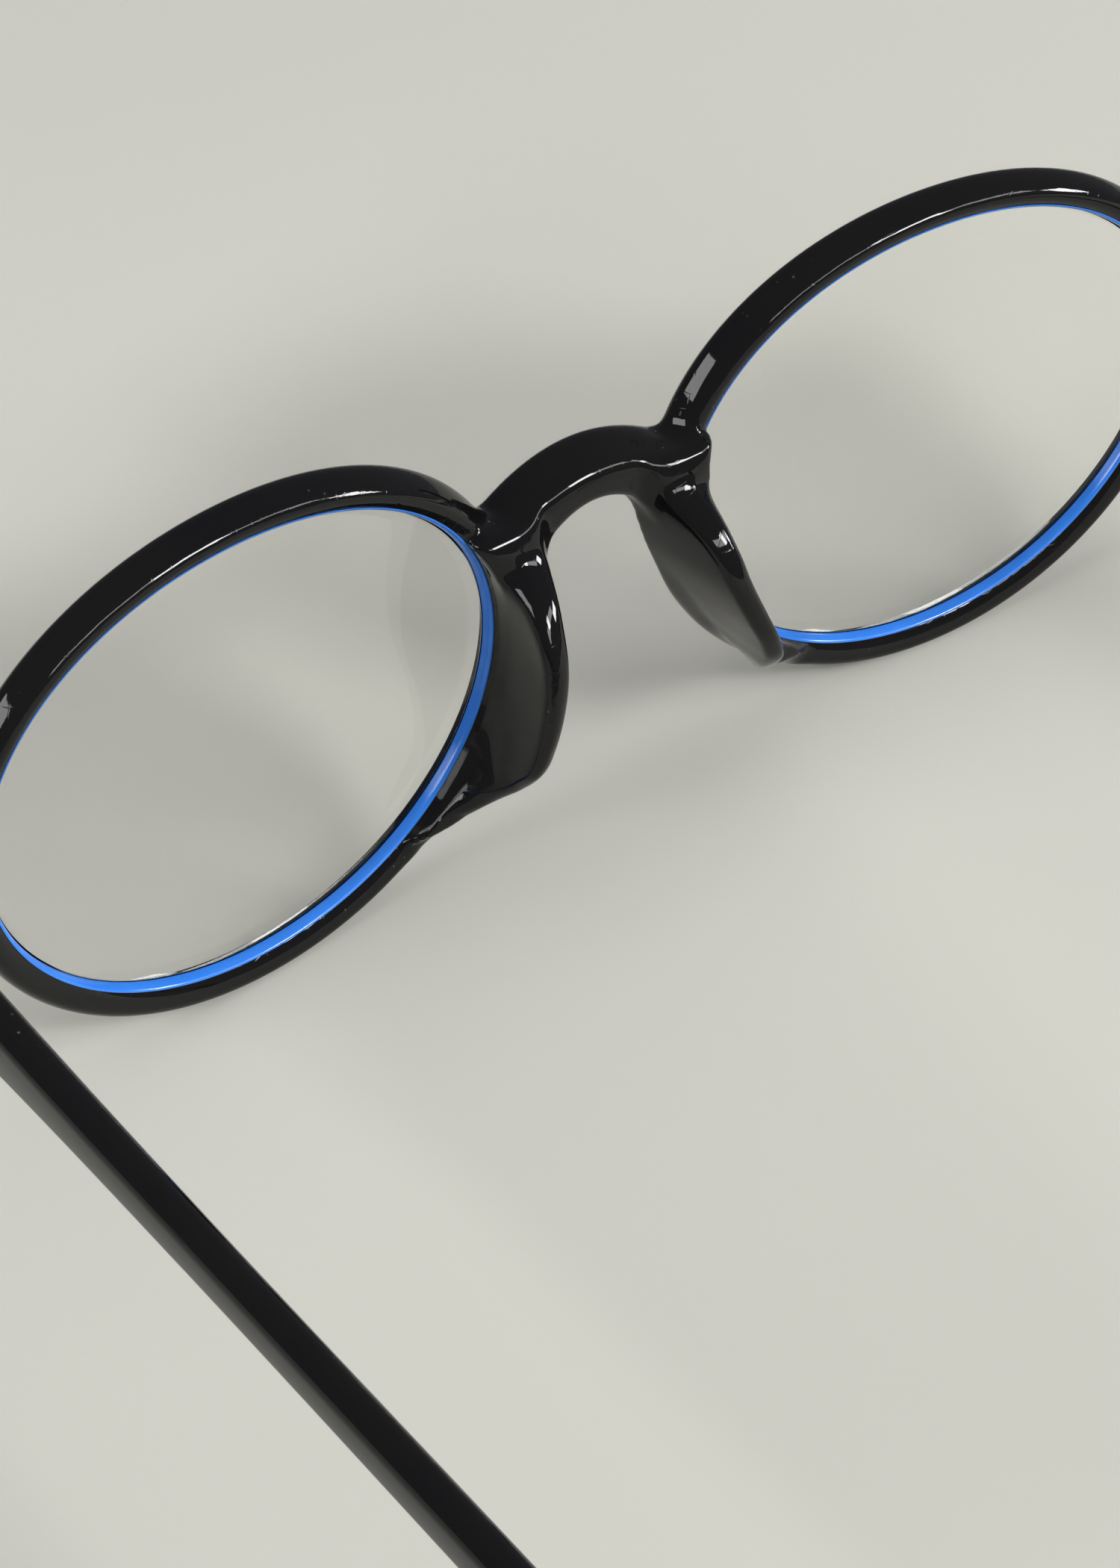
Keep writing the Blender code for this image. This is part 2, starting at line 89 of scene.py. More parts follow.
# Lenses
LENS_REAR = 1.55
LENS_THICK = 1.6
LENS_SAG = 2.0

# Bridge
BRIDGE_FRONT_Y = -5.4
BRIDGE_REAR_Y = -1.2
BRIDGE_TOP_Z = 12.0
BRIDGE_CURVE = 0.041
BRIDGE_LOW_Z = 7.5
BRIDGE_LOW_CURVE = 0.1
BRIDGE_REAR_DROP = 1.8
BRIDGE_HALF_SPAN = 8.6

# Nose pads
PAD_BASE_Y = -2.6
PAD_FRONT_Y = -3.2
PAD_MIDDLE_Z = -4.8
PAD_HALF_HEIGHT = 13.8
PAD_EDGE_D = 0.6
PAD_HOLLOW = 0.35

# Hinges and end pieces
END_Z = 5.2
END_INNER_X = 56.8
END_OUTER_X = 68.2
AXIS_X = 62.8
AXIS_Y = 5.7
END_REAR_Y = 3.6
FIT_GAP = 0.06
FRONT_PLATE_X = (60.9, 66.3)
FRONT_PLATE_HALF_H = 2.4
TEMPLE_PLATE_Y = (-0.9, 8.6)
TEMPLE_PLATE_HALF_H = 2.3
PLATE_D = 0.6
KNUCKLE_R = 1.5
KNUCKLE_HALF_H = 0.4
WEB_HALF_H = 0.36
BORE_R = 0.8
SCREW_R = 0.6
SCREW_HEAD_R = 1.15
SCREW_HEAD_H = 0.6
SLOT_HALF_W = 0.14
RIVET_R = 0.62
FRONT_RIVETS = (61.8, 65.3)
TEMPLE_RIVETS = (2.6, 6.6)

# Temples
PANTO = math.radians(2.8)
SPLAY = math.radians(3.0)
TEMPLE_X = 3.2
TEMPLE_T = 2.9
TEMPLE_STRAIGHT = 95.0
TEMPLE_BEND_R = 28.0
TEMPLE_BEND = math.radians(42.0)
TEMPLE_TIP = 32.0
TEMPLE_LENGTH = TEMPLE_STRAIGHT + TEMPLE_BEND_R * TEMPLE_BEND + TEMPLE_TIP
TEMPLE_START = -1.4
BUTT_GAP = 0.3
TIP_ROUND = 8.0

# Spacing of the cells from which the front's surface is made
GRID = 0.3


def stand_matrix():
    """The front's frame in the row frame, from the left hinge joint."""
    joints = {joint["name"]: joint for joint in frame["joints"]}
    axis = Vector(joints["left_temple_hinge"]["axis"])
    place = Vector(joints["left_temple_hinge"]["pos_m"])
    turn = Matrix.Rotation(math.atan2(-axis.y, axis.z), 4, "X")
    offset = place - turn @ (Vector((AXIS_X, AXIS_Y, END_Z)) * MM)
    return Matrix.Translation(offset) @ turn @ Matrix.Scale(MM, 4)


STAND = stand_matrix()

# ---------------------------------------------------------------- outlines


def outline(offset=0.0, count=OUTLINE_POINTS):
    """Points and outward normals of the lens opening's outline, moved outwards by offset."""
    t = 2 * np.pi * np.arange(count) / count
    power = 2 / OPENING_POWER
    c, s = np.cos(t), np.sin(t)
    z = OPENING_HALF_H * np.sign(s) * np.abs(s) ** power
    x = OPENING_HALF_W * np.sign(c) * np.abs(c) ** power * (1 + TOP_FLARE * z / OPENING_HALF_H)
    points = np.stack([x, z], 1)
    along = np.roll(points, -1, 0) - np.roll(points, 1, 0)
    normals = np.stack([along[:, 1], -along[:, 0]], 1)
    normals /= np.linalg.norm(normals, axis=1)[:, None]
    return points + normals * offset, normals


OUTLINE, OUTLINE_NORMALS = outline()
OUTLINE_ANGLE = 2 * np.pi * np.arange(OUTLINE_POINTS) / OUTLINE_POINTS


def rim_width(angle):
    middle = (RIM_TOP_W + RIM_BOTTOM_W) / 2
    swell = RIM_NASAL_SWELL * np.maximum(0.0, np.cos(angle - NASAL_ANGLE)) ** 2
    return middle + (RIM_TOP_W - RIM_BOTTOM_W) / 2 * np.sin(angle) + swell


def outline_distance(u, v):
    """Distance outwards from the opening's outline, and the outline index of the nearest point."""
    angle = np.arctan2(v / OPENING_HALF_H, u / OPENING_HALF_W)
    step = 2 * np.pi / OUTLINE_POINTS
    index = np.round(angle / step).astype(int) % OUTLINE_POINTS
    spacing = np.linalg.norm(np.roll(OUTLINE, -1, 0) - OUTLINE, axis=1)
    for _ in range(4):
        normal = OUTLINE_NORMALS[index]
        du, dv = u - OUTLINE[index, 0], v - OUTLINE[index, 1]
        slide = dv * normal[..., 0] - du * normal[..., 1]
        index = (index + np.round(0.8 * slide / spacing[index]).astype(int)) % OUTLINE_POINTS
    normal = OUTLINE_NORMALS[index]
    du, dv = u - OUTLINE[index, 0], v - OUTLINE[index, 1]
    return du * normal[..., 0] + dv * normal[..., 1], index


def to_lens_plane(x, y, z):
    """From the front's frame (x already positive) to one lens plane: outwards, to the rear, up."""
    out, rear = x - OPENING_X, y
    c, s = math.cos(WRAP), math.sin(WRAP)
    return out * c + rear * s, -out * s + rear * c, z - OPENING_Z


def on_front(x, y, z, side):
    out = x * math.cos(WRAP) - y * math.sin(WRAP)
    rear = x * math.sin(WRAP) + y * math.cos(WRAP)
    return (side * (OPENING_X + out), rear, OPENING_Z + z)


# ---------------------------------------------------------------- the front as one smooth field


def smooth_min(a, b, k):
    h = np.maximum(k - np.abs(a - b), 0.0) / k
    return np.minimum(a, b) - h * h * k / 4


def smooth_max(a, b, k):
    return -smooth_min(-a, -b, k)


def dense(knots, values, count=400):
    """A smooth curve through the values, as a finely spaced table for np.interp."""
    knots, values = np.array(knots, float), np.array(values, float)
    slope = np.gradient(values, knots)
    at = np.linspace(knots[0], knots[-1], count)
    i = np.clip(np.searchsorted(knots, at, side="right") - 1, 0, len(knots) - 2)
    width = knots[i + 1] - knots[i]
    t = (at - knots[i]) / width
    a = (1 + 2 * t) * (1 - t) ** 2 * values[i] + t * (1 - t) ** 2 * width * slope[i]
    b = t * t * (3 - 2 * t) * values[i + 1] + t * t * (t - 1) * width * slope[i + 1]
    return at, a + b


# Nose pads from bottom to top: height, rear reach, rear edge's lens side and nose side, base's nose side
PAD_ROWS = np.array([
    (-18.6, -2.2, 20.2, 18.8, 19.6),
    (-16.8, 0.0, 17.8, 16.1, 16.9),
    (-15.6, 1.1, 16.4, 14.6, 15.3),
    (-14.0, 2.6, 14.7, 12.8, 13.5),
    (-11.8, 4.9, 13.4, 11.6, 11.5),
    (-9.2, 6.9, 12.8, 10.8, 10.0),
    (-7.1, 7.35, 12.1, 10.1, 8.8),
    (-4.3, 7.25, 11.1, 9.0, 7.4),
    (-0.8, 6.55, 10.1, 7.9, 5.9),
    (1.9, 5.35, 9.8, 7.3, 5.2),
    (4.4, 3.25, 9.6, 6.5, 4.7),
    (5.4, 1.95, 9.5, 6.1, 4.5),
    (6.2, 1.0, 9.4, 5.9, 4.4),
    (7.0, 0.35, 9.3, 5.7, 4.3),
    (7.8, 0.05, 9.2, 5.6, 4.3),
    (9.0, -0.5, 8.8, 5.6, 4.6),
])
PAD_TABLES = [dense(PAD_ROWS[:, 0], PAD_ROWS[:, k]) for k in range(1, 5)]


def nasal_seat_table():
    """x of the pad's foot, a little inside the ring seat's outer wall, against height."""
    points, _ = outline(SEAT_W - OVERHANG)
    half = OUTLINE_POINTS // 4
    rows = points[half:3 * half + 1]
    out = rows[:, 0] * math.cos(WRAP)
    z, x = rows[:, 1] + OPENING_Z, OPENING_X + out
    order = np.argsort(z)
    return z[order], x[order]


SEAT_TABLE = nasal_seat_table()


def rim_field(x, y, z):
    """One rim, rounded in front and bevelled at the rear, and the distance out from the opening."""
    u, rear, v = to_lens_plane(x, y, z)
    out, index = outline_distance(u, v)
    angle = OUTLINE_ANGLE[index]
    width = rim_width(angle)
    low = -1.2
    half = (width - low) / 2
    front_round = (RIM_FRONT_ROUND_TOP + RIM_FRONT_ROUND_LOW) / 2
    front_round = front_round + (RIM_FRONT_ROUND_TOP - RIM_FRONT_ROUND_LOW) / 2 * np.sin(angle)
    outer_front = (out > (width + low) / 2) & (rear < -RIM_D / 2)
    corner = np.where(outer_front, front_round, RIM_ROUND)
    qx = np.abs(out - (width + low) / 2) - (half - corner)
    qy = np.abs(rear + RIM_D / 2) - (RIM_D / 2 - corner)
    outside = np.hypot(np.maximum(qx, 0), np.maximum(qy, 0))
    body = outside + np.minimum(np.maximum(qx, qy), 0) - corner
    lip = (RIM_LIP_TOP + RIM_LIP_LOW) / 2 + (RIM_LIP_TOP - RIM_LIP_LOW) / 2 * np.sin(angle)
    bevel = (out - lip) * math.sin(RIM_BEVEL) + rear * math.cos(RIM_BEVEL)
    inner = (rear + RING_REAR - out + SEAT_W) * math.sqrt(0.5)
    return smooth_max(smooth_max(body, bevel, 0.85), inner, 0.8), out


def bridge_field(x, y, z):
    """The arch between the rims, with a top that falls to the rear."""
    slope = 1 / np.sqrt(1 + (2 * BRIDGE_CURVE * x) ** 2)
    lean = math.atan2(BRIDGE_REAR_DROP, BRIDGE_REAR_Y - BRIDGE_FRONT_Y - 0.8)
    top = BRIDGE_TOP_Z - BRIDGE_CURVE * x * x
    over = ((z - top) * math.cos(lean) + (y - BRIDGE_FRONT_Y - 0.8) * math.sin(lean)) * slope
    low_slope = 1 / np.sqrt(1 + (2 * BRIDGE_LOW_CURVE * x) ** 2)
    under = (BRIDGE_LOW_Z - BRIDGE_LOW_CURVE * x * x - z) * low_slope
    body = smooth_max(over, under, 1.2)
    body = smooth_max(body, y - BRIDGE_REAR_Y, 0.9)
    body = smooth_max(body, BRIDGE_FRONT_Y - y, 1.2)
    body = smooth_max(body, z - top - 0.05, 0.8)
    return smooth_max(body, x - BRIDGE_HALF_SPAN, 0.6)


def pad_flank(y, z):
    """x of the pad's face towards the lens, from the ring's seat to the rear edge."""
    reach, rear_lens = [np.interp(z, *table) for table in PAD_TABLES[:2]]
    seat = np.interp(z, *SEAT_TABLE)
    share = np.clip(y / np.maximum(reach - PAD_EDGE_D, 0.5), 0.0, 1.2)
    hollow = PAD_HOLLOW * np.clip(share, 0, 1) * (1 - np.clip(share, 0, 1))
    return seat + (rear_lens - seat) * share - hollow


def pad_field(x, y, z):
    """A nose pad: a fin with a bevel towards the lens and a facet towards the nose."""
    reach, _, rear_nose, base_nose = [np.interp(z, *table) for table in PAD_TABLES]
    lens_side = pad_flank(y, z)
    span = np.maximum(reach - PAD_EDGE_D - PAD_BASE_Y, 0.5)
    nose_share = np.clip((y - PAD_BASE_Y) / span, -0.5, 1.2)
    nose_side = base_nose + (rear_nose - base_nose) * nose_share
    table_z, table_reach = PAD_TABLES[0]
    rise = np.interp(z, table_z, np.gradient(table_reach, table_z))
    rear = (y - reach) / np.sqrt(1 + rise * rise)
    body = smooth_max((x - lens_side) * 0.93, (nose_side - x) * 0.93, 0.3)
    bevel = (rear + (x - lens_side) + 0.75) * 0.74
    facet = rear * 0.956 + (nose_side - x) * 0.29 + 0.32
    body = smooth_max(smooth_max(body, rear, 0.9), bevel, 0.5)
    body = smooth_max(body, facet, 0.4)
    body = smooth_max(body, PAD_FRONT_Y - y, 0.5)
    return smooth_max(body, np.abs(z - PAD_MIDDLE_Z) - PAD_HALF_HEIGHT, 0.8)


# End pieces along X: x, front y, rear y, half height
END_ROWS = np.array([
    (56.5, -1.8, 0.8, 4.3),
    (58.0, -1.75, 1.2, 3.95),
    (60.2, -1.75, 2.6, 3.7),
    (61.6, -1.7, 3.55, 3.6),
    (63.5, -1.6, 3.6, 3.5),
    (65.5, -1.35, 3.6, 3.4),
    (67.4, -0.9, 3.6, 3.2),
    (68.6, -0.2, 3.6, 3.0),
])
END_TABLES = [dense(END_ROWS[:, 0], END_ROWS[:, k]) for k in range(1, 4)]


def end_field(x, y, z):
    front, rear, half = [np.interp(x, *table) for table in END_TABLES]
    body = smooth_max(front - y, np.abs(z - END_Z) - half, 1.3)
    body = smooth_max(body, y - rear, 0.5)
    body = smooth_max(body, x - END_OUTER_X, 1.4)
    return smooth_max(body, END_INNER_X - x, 0.5)


def front_field(p):
    """Signed distance of the whole front, before the lens openings and the hinge recesses are cut."""
    x, y, z = np.abs(p[..., 0]), p[..., 1], p[..., 2]
    rim, out = rim_field(x, y, z)
    nose = smooth_min(bridge_field(x, y, z), pad_field(x, y, z), 1.3)
    opening = smooth_min(SEAT_W - OVERHANG - out, x - pad_flank(y, z), 0.3)
    nose = smooth_max(nose, opening, 0.3)
    body = smooth_min(rim, nose, 0.06 + 1.3 * np.clip((out - SEAT_W - 0.1) / 1.2, 0.0, 1.0))
    return smooth_min(body, end_field(x, y, z), 1.6)


def surface_net(low, high, step, field):
    """A quad mesh of the field's zero surface, one point per crossed cell."""
    axes = [np.arange(a, b + step, step) for a, b in zip(low, high)]
    grid = np.stack(np.meshgrid(*axes, indexing="ij"), -1)
    values = field(grid)
    inside = values < 0
    corners = sum(
        inside[i:inside.shape[0] - 1 + i, j:inside.shape[1] - 1 + j, k:inside.shape[2] - 1 + k].astype(int)
        for i in (0, 1) for j in (0, 1) for k in (0, 1)
    )
    active = (corners > 0) & (corners < 8)
    number = np.full(active.shape, -1)
    number[active] = np.arange(active.sum())
    points = np.argwhere(active) * step + np.array(low) + step / 2
    faces = []
    for axis in range(3):
        s = np.moveaxis(inside, axis, 0)
        n = np.moveaxis(number, axis, 0)
        change = s[:-1, 1:-1, 1:-1] != s[1:, 1:-1, 1:-1]
        i, j, k = np.nonzero(change)
        quad = np.stack([n[i, j, k], n[i, j + 1, k], n[i, j + 1, k + 1], n[i, j, k + 1]], 1)
        flip = s[i, j + 1, k + 1]
        if axis == 1:
            flip = ~flip
        quad[~flip] = quad[~flip][:, ::-1]
        faces.append(quad)
    return points, np.concatenate(faces)


def gradient(field, p, h=0.02):
    parts = []
    for axis in range(3):
        shift = np.zeros(3)
        shift[axis] = h
        parts.append((field(p + shift) - field(p - shift)) / (2 * h))
    return np.stack(parts, -1)


def settle(points, faces, field, rounds=5):
    """Evens out the mesh while it stays on the field's zero surface."""
    pairs = np.concatenate([faces[:, [0, 1]], faces[:, [1, 2]], faces[:, [2, 3]], faces[:, [3, 0]]])
    for turn in range(rounds):
        slope = gradient(field, points)
        size = np.maximum((slope ** 2).sum(1), 0.2)
        points = points - slope * (field(points) / size)[:, None]
        if turn == rounds - 1:
            break
        total = np.zeros_like(points)
        count = np.zeros(len(points))
        for a, b in ((0, 1), (1, 0)):
            np.add.at(total, pairs[:, a], points[pairs[:, b]])
            np.add.at(count, pairs[:, a], 1)
        normal = slope / np.sqrt(size)[:, None]
        move = total / count[:, None] - points
        move -= normal * (move * normal).sum(1)[:, None]
        points = points + 0.6 * move
    return points


def new_object(name, points, faces, in_stand=True):
    mesh = bpy.data.meshes.new(name)
    mesh.from_pydata([tuple(p) for p in points], [], [tuple(f) for f in faces])
    if in_stand:
        mesh.transform(STAND)
    mesh.validate()
    bm = bmesh.new()
    bm.from_mesh(mesh)
    bmesh.ops.recalc_face_normals(bm, faces=bm.faces)
    bm.to_mesh(mesh)
    bm.free()
    made = bpy.data.objects.new(name, mesh)
    bpy.context.scene.collection.objects.link(made)
    return made


def loft(rows, closed=False, caps=True):
    """Points and faces through rows of points; an open loft gets capped ends."""
    rows = [list(row) for row in rows]
    count = len(rows[0])
    points = [p for row in rows for p in row]
    faces = []
    last = len(rows) if closed else len(rows) - 1
    for i in range(last):
        a, b = i * count, ((i + 1) % len(rows)) * count
        for k in range(count):
            j = (k + 1) % count
            faces.append((a + k, a + j, b + j, b + k))
    if not closed and caps:
        faces.append(tuple(range(count)))
        faces.append(tuple(range(len(points) - count, len(points))))
    return points, faces


def ring_sweep(side, section, stations):
    """A ring along the opening; section is a loop of (outwards, depth) points."""
    points, normals = outline(0.0, stations)
    rows = []
    for point, normal in zip(points, normals):
        row = []
        for out, y in section:
            x, z = point + normal * out
            row.append(on_front(x, y, z, side))
        rows.append(row)
    return loft(rows, closed=True)


def plug(side, levels, stations=240):
    """A solid that fills the opening: levels are (outwards, depth) from front to rear."""
    points, normals = outline(0.0, stations)
    rows = []
    for out, y in levels:
        rows.append([on_front(x, y, z, side) for x, z in points + normals * out])
    return loft(rows)


def combine(target, others, operation, solver="EXACT"):
    for other in others:
        modifier = target.modifiers.new("combine", "BOOLEAN")
        modifier.operation = operation
        modifier.solver = solver
        modifier.object = other
        bpy.context.view_layer.update()
        graph = bpy.context.evaluated_depsgraph_get()
        result = bpy.data.meshes.new_from_object(target.evaluated_get(graph))
        target.modifiers.clear()
        target.data = result
    for other in others:
        bpy.data.objects.remove(other, do_unlink=True)


def shade(item, angle=35):
    item.data.shade_smooth()
    item.data.set_sharp_from_angle(angle=math.radians(angle))


def box_mesh(low, high):
    x0, y0, z0 = low
    x1, y1, z1 = high
    rows = [[(x0, y0, z), (x1, y0, z), (x1, y1, z), (x0, y1, z)] for z in (z0, z1)]
    return loft(rows)


def rod_mesh(start, end, radius, sides=32, bevel=0.0):
    start, end = Vector(start), Vector(end)
    turn = (end - start).to_track_quat("Z", "Y")
    length = (end - start).length
    stops = [(0, radius), (length, radius)]
    if bevel:
        stops = [(0, radius - bevel), (bevel, radius), (length - bevel, radius), (length, radius - bevel)]
    rows = []
    for along, r in stops:
        row = []
        for k in range(sides):
            a = 2 * math.pi * k / sides
            row.append(start + turn @ Vector((r * math.cos(a), r * math.sin(a), along)))
        rows.append(row)
    return loft(rows)


def make_front():
    points, faces = surface_net((-70.2, -6.6, -25.0), (70.2, 9.0, 24.2), GRID, front_field)
    points = settle(points, faces, front_field)
    front = new_object("front_body", points, faces)
    cutters = []
    for side in (1, -1):
        middle = (GROOVE_REAR + GROOVE_FRONT) / 2
        levels = [
            (FRONT_LIP + 0.3, -8.0),
            (FRONT_LIP + 0.3, -RIM_D + 0.02),
            (FRONT_LIP, -RIM_D + 0.3),
            (FRONT_LIP, -GROOVE_FRONT),
            (GROOVE_DEPTH, -middle - 0.1),
            (GROOVE_DEPTH, -middle + 0.1),
            (0.0, -GROOVE_REAR),
            (0.0, -SEAT_D),
            (SEAT_W, -SEAT_D),
            (SEAT_W, -0.08),
            (SEAT_W + 0.03, 0.02),
            (SEAT_W + 0.03, 0.35),
        ]
        cutters.append(new_object("opening", *plug(side, levels)))
        half = FRONT_PLATE_HALF_H + FIT_GAP
        low, high = sorted((side * (FRONT_PLATE_X[0] - FIT_GAP), side * (FRONT_PLATE_X[1] + FIT_GAP)))
        deep = END_REAR_Y - PLATE_D - FIT_GAP
        recess = box_mesh((low, deep, END_Z - half), (high, END_REAR_Y + 1.0, END_Z + half))
        cutters.append(new_object("recess", *recess))
    combine(front, cutters, "DIFFERENCE")
    shade(front, 38)
    return front


def make_lens(side):
    """A dished lens whose edge runs into the rim's groove."""
    stations = 192
    points, normals = outline(0.0, stations)
    ridge = -(GROOVE_REAR + GROOVE_FRONT) / 2
    rear, front = -LENS_REAR, -LENS_REAR - LENS_THICK
    rows = []

    def row(out, y, share=1.0):
        ring = []
        for k in range(stations):
            p = (points[k] + normals[k] * out) * share
            ring.append(on_front(p[0], y - LENS_SAG * (1 - share * share), p[1], side))
        rows.append(ring)

    shares = [0.03, 0.12, 0.25, 0.4, 0.55, 0.68, 0.8, 0.89, 0.95]
    for share in shares:
        row(0, rear, share)
    row(-0.12, rear)
    row(GROOVE_DEPTH - 0.1, ridge + 0.15)
    row(GROOVE_DEPTH - 0.1, ridge - 0.15)
    row(-0.12, front)
    for share in reversed(shares):
        row(0, front, share)
    lens = new_object(f"lens_glass_{side_word(side)}", *loft(rows))
    shade(lens, 40)
    return lens


def side_word(side):
    return "left" if side > 0 else "right"


def ring_section():
    """The blue liner: one full rounded slope from the rear face down to the lens."""
    wide, deep = SEAT_W - 0.01, SEAT_D - RING_REAR
    points = [(wide, -RING_REAR), (wide, -SEAT_D + 0.01), (0.0, -SEAT_D + 0.01)]
    for k in range(11):
        a = math.pi / 2 * k / 10
        points.append((wide * (1 - math.cos(a)) * 0.96, -RING_REAR - deep * (1 - math.sin(a)) * 0.96))
    return points


def make_ring(side):
    ring = new_object(f"blue_liner_{side_word(side)}", *ring_sweep(side, ring_section(), 300))
    shade(ring, 40)
    return ring


# ---------------------------------------------------------------- temples and hinges

# Length from the hinge axis, height, thickness, corner radius
TEMPLE_ROWS = np.array([
    (TEMPLE_START, 6.2, TEMPLE_T, 0.7),
    (4.0, 6.1, TEMPLE_T, 0.8),
    (12.0, 5.6, TEMPLE_T, 1.0),
    (22.0, 4.9, TEMPLE_T, 1.15),
    (38.0, 4.5, 2.8, 1.2),
    (70.0, 4.5, 2.8, 1.2),
    (95.0, 4.7, 2.8, 1.2),
    (105.3, 5.1, 2.8, 1.2),
    (115.5, 5.8, 2.8, 1.2),
    (TEMPLE_LENGTH - 18.0, 6.8, 2.8, 1.2),
    (TEMPLE_LENGTH - TIP_ROUND, 7.2, 2.75, 1.2),
])
TEMPLE_TABLES = [dense(TEMPLE_ROWS[:, 0], TEMPLE_ROWS[:, k]) for k in (1, 2, 3)]
TIP_START = TEMPLE_LENGTH - TIP_ROUND


def temple_matrix(side):
    """From a temple's own frame (x outwards, y along, z up) to the front's frame."""
    turn = Matrix.Rotation(side * SPLAY, 4, "Z") @ Matrix.Rotation(-PANTO, 4, "X")
    return Matrix.Translation((side * AXIS_X, AXIS_Y, END_Z)) @ turn


def temple_path(along):
    if along <= TEMPLE_STRAIGHT:
        return along, 0.0, 0.0
    bent = min((along - TEMPLE_STRAIGHT) / TEMPLE_BEND_R, TEMPLE_BEND)
    y = TEMPLE_STRAIGHT + TEMPLE_BEND_R * math.sin(bent)
    z = -TEMPLE_BEND_R * (1 - math.cos(bent))
    rest = along - TEMPLE_STRAIGHT - TEMPLE_BEND_R * bent
    return y + rest * math.cos(bent), z - rest * math.sin(bent), bent


def rounded_rectangle(half_a, half_b, radius, steps=7):
    points = []
    for quarter in range(4):
        sign_a = 1 if quarter in (0, 3) else -1
        sign_b = 1 if quarter < 2 else -1
        for k in range(steps + 1):
            a = math.pi / 2 * (quarter + k / steps)
            points.append((
                sign_a * (half_a - radius) + radius * math.cos(a),
                sign_b * (half_b - radius) + radius * math.sin(a),
            ))
    return points


def temple_row(side, along, height, thick, radius):
    y, z, slope = temple_path(along)
    turn = temple_matrix(side)
    row = []
    for a, b in rounded_rectangle(thick / 2, height / 2, radius):
        local = Vector((side * (TEMPLE_X + a), y + b * math.sin(slope), z + b * math.cos(slope)))
        row.append(turn @ local)
    return row


def temple_sections():
    """Length, height, thickness and corner radius along a temple, with a rounded tip."""
    stops = list(np.linspace(4.0, 95.0, 40)) + list(np.linspace(96.0, TIP_START, 36))
    rows = [(at, *[float(np.interp(at, *table)) for table in TEMPLE_TABLES]) for at in stops]
    _, height, thick, radius = rows[-1]
    for k in range(1, 15):
        a = math.pi / 2 * k / 14.6
        share = math.cos(a)
        flat = math.cos(a) ** 0.45
        h, t = height * flat, max(thick * (0.35 + 0.65 * share ** 0.7) * flat ** 0.4, 0.4)
        rows.append((TIP_START + TIP_ROUND * math.sin(a), h, t, min(radius, 0.48 * t, 0.48 * h)))
    return rows


def flat_box(side, low, high):
    """A box in a temple's own frame."""
    points, faces = box_mesh(low, high)
    turn = temple_matrix(side)
    return [turn @ Vector((side * p[0], p[1], p[2])) for p in points], faces


def make_temple(side):
    butt_y = END_REAR_Y + BUTT_GAP
    turn = temple_matrix(side)
    direction = turn.to_3x3() @ Vector((0, 1, 0))
    height, thick, radius = [float(np.interp(TEMPLE_START, *table)) for table in TEMPLE_TABLES]
    rows = []
    for inset, back in ((0.3, 0.0), (0.09, 0.09), (0.0, 0.3)):
        row = temple_row(side, TEMPLE_START, height - 2 * inset, thick - 2 * inset, radius)
        rows.append([p + direction * ((butt_y + back - p.y) / direction.y) for p in row])
    rows += [temple_row(side, *section) for section in temple_sections()]
    temple = new_object(f"temple_body_{side_word(side)}", *loft(rows))
    inner = TEMPLE_X - TEMPLE_T / 2
    front, rear = TEMPLE_PLATE_Y[0] - FIT_GAP, TEMPLE_PLATE_Y[1] + FIT_GAP
    half = TEMPLE_PLATE_HALF_H + FIT_GAP
    recess = flat_box(side, (inner - 1.0, front, -half), (inner + PLATE_D + FIT_GAP, rear, half))
    combine(temple, [new_object("recess", *recess)], "DIFFERENCE")
    shade(temple, 35)
    return temple


def knuckles(side, temple):
    """Barrels and webs of one leaf, in the front's frame at rest."""
    levels = (-1, 1) if temple else (-2, 0, 2)
    x, y = side * AXIS_X, AXIS_Y
    solids = []
    for level in levels:
        z = END_Z + level
        solids.append(rod_mesh((x, y, z - KNUCKLE_HALF_H), (x, y, z + KNUCKLE_HALF_H), KNUCKLE_R, 40, 0.07))
        if temple:
            low, high = sorted((x, x + side * (TEMPLE_X - TEMPLE_T / 2 + 0.25)))
            web = box_mesh((low, y - 0.55, z - WEB_HALF_H), (high, y + 1.1, z + WEB_HALF_H))
        else:
            rear = END_REAR_Y - PLATE_D / 2
            web = box_mesh((x - 1.1, rear, z - WEB_HALF_H), (x + 1.1, y, z + WEB_HALF_H))
        solids.append(web)
    return solids


def make_leaf(side, temple):
    word = side_word(side)
    if temple:
        inner = TEMPLE_X - TEMPLE_T / 2
        front, rear = TEMPLE_PLATE_Y
        half = TEMPLE_PLATE_HALF_H
        plate = flat_box(side, (inner - 0.05, front, -half), (inner + PLATE_D, rear, half))
    else:
        low, high = sorted(side * x for x in FRONT_PLATE_X)
        half = FRONT_PLATE_HALF_H
        plate = box_mesh((low, END_REAR_Y - PLATE_D, END_Z - half), (high, END_REAR_Y, END_Z + half))
    leaf = new_object(f"{'temple' if temple else 'front'}_leaf_{word}", *plate)
    combine(leaf, [new_object("barrel", *solid) for solid in knuckles(side, temple)], "UNION")
    axis = Vector((side * AXIS_X, AXIS_Y, END_Z))
    bore = rod_mesh(axis - Vector((0, 0, 4)), axis + Vector((0, 0, 4)), BORE_R, 32)
    combine(leaf, [new_object("bore", *bore)], "DIFFERENCE")
    shade(leaf, 30)
    return leaf


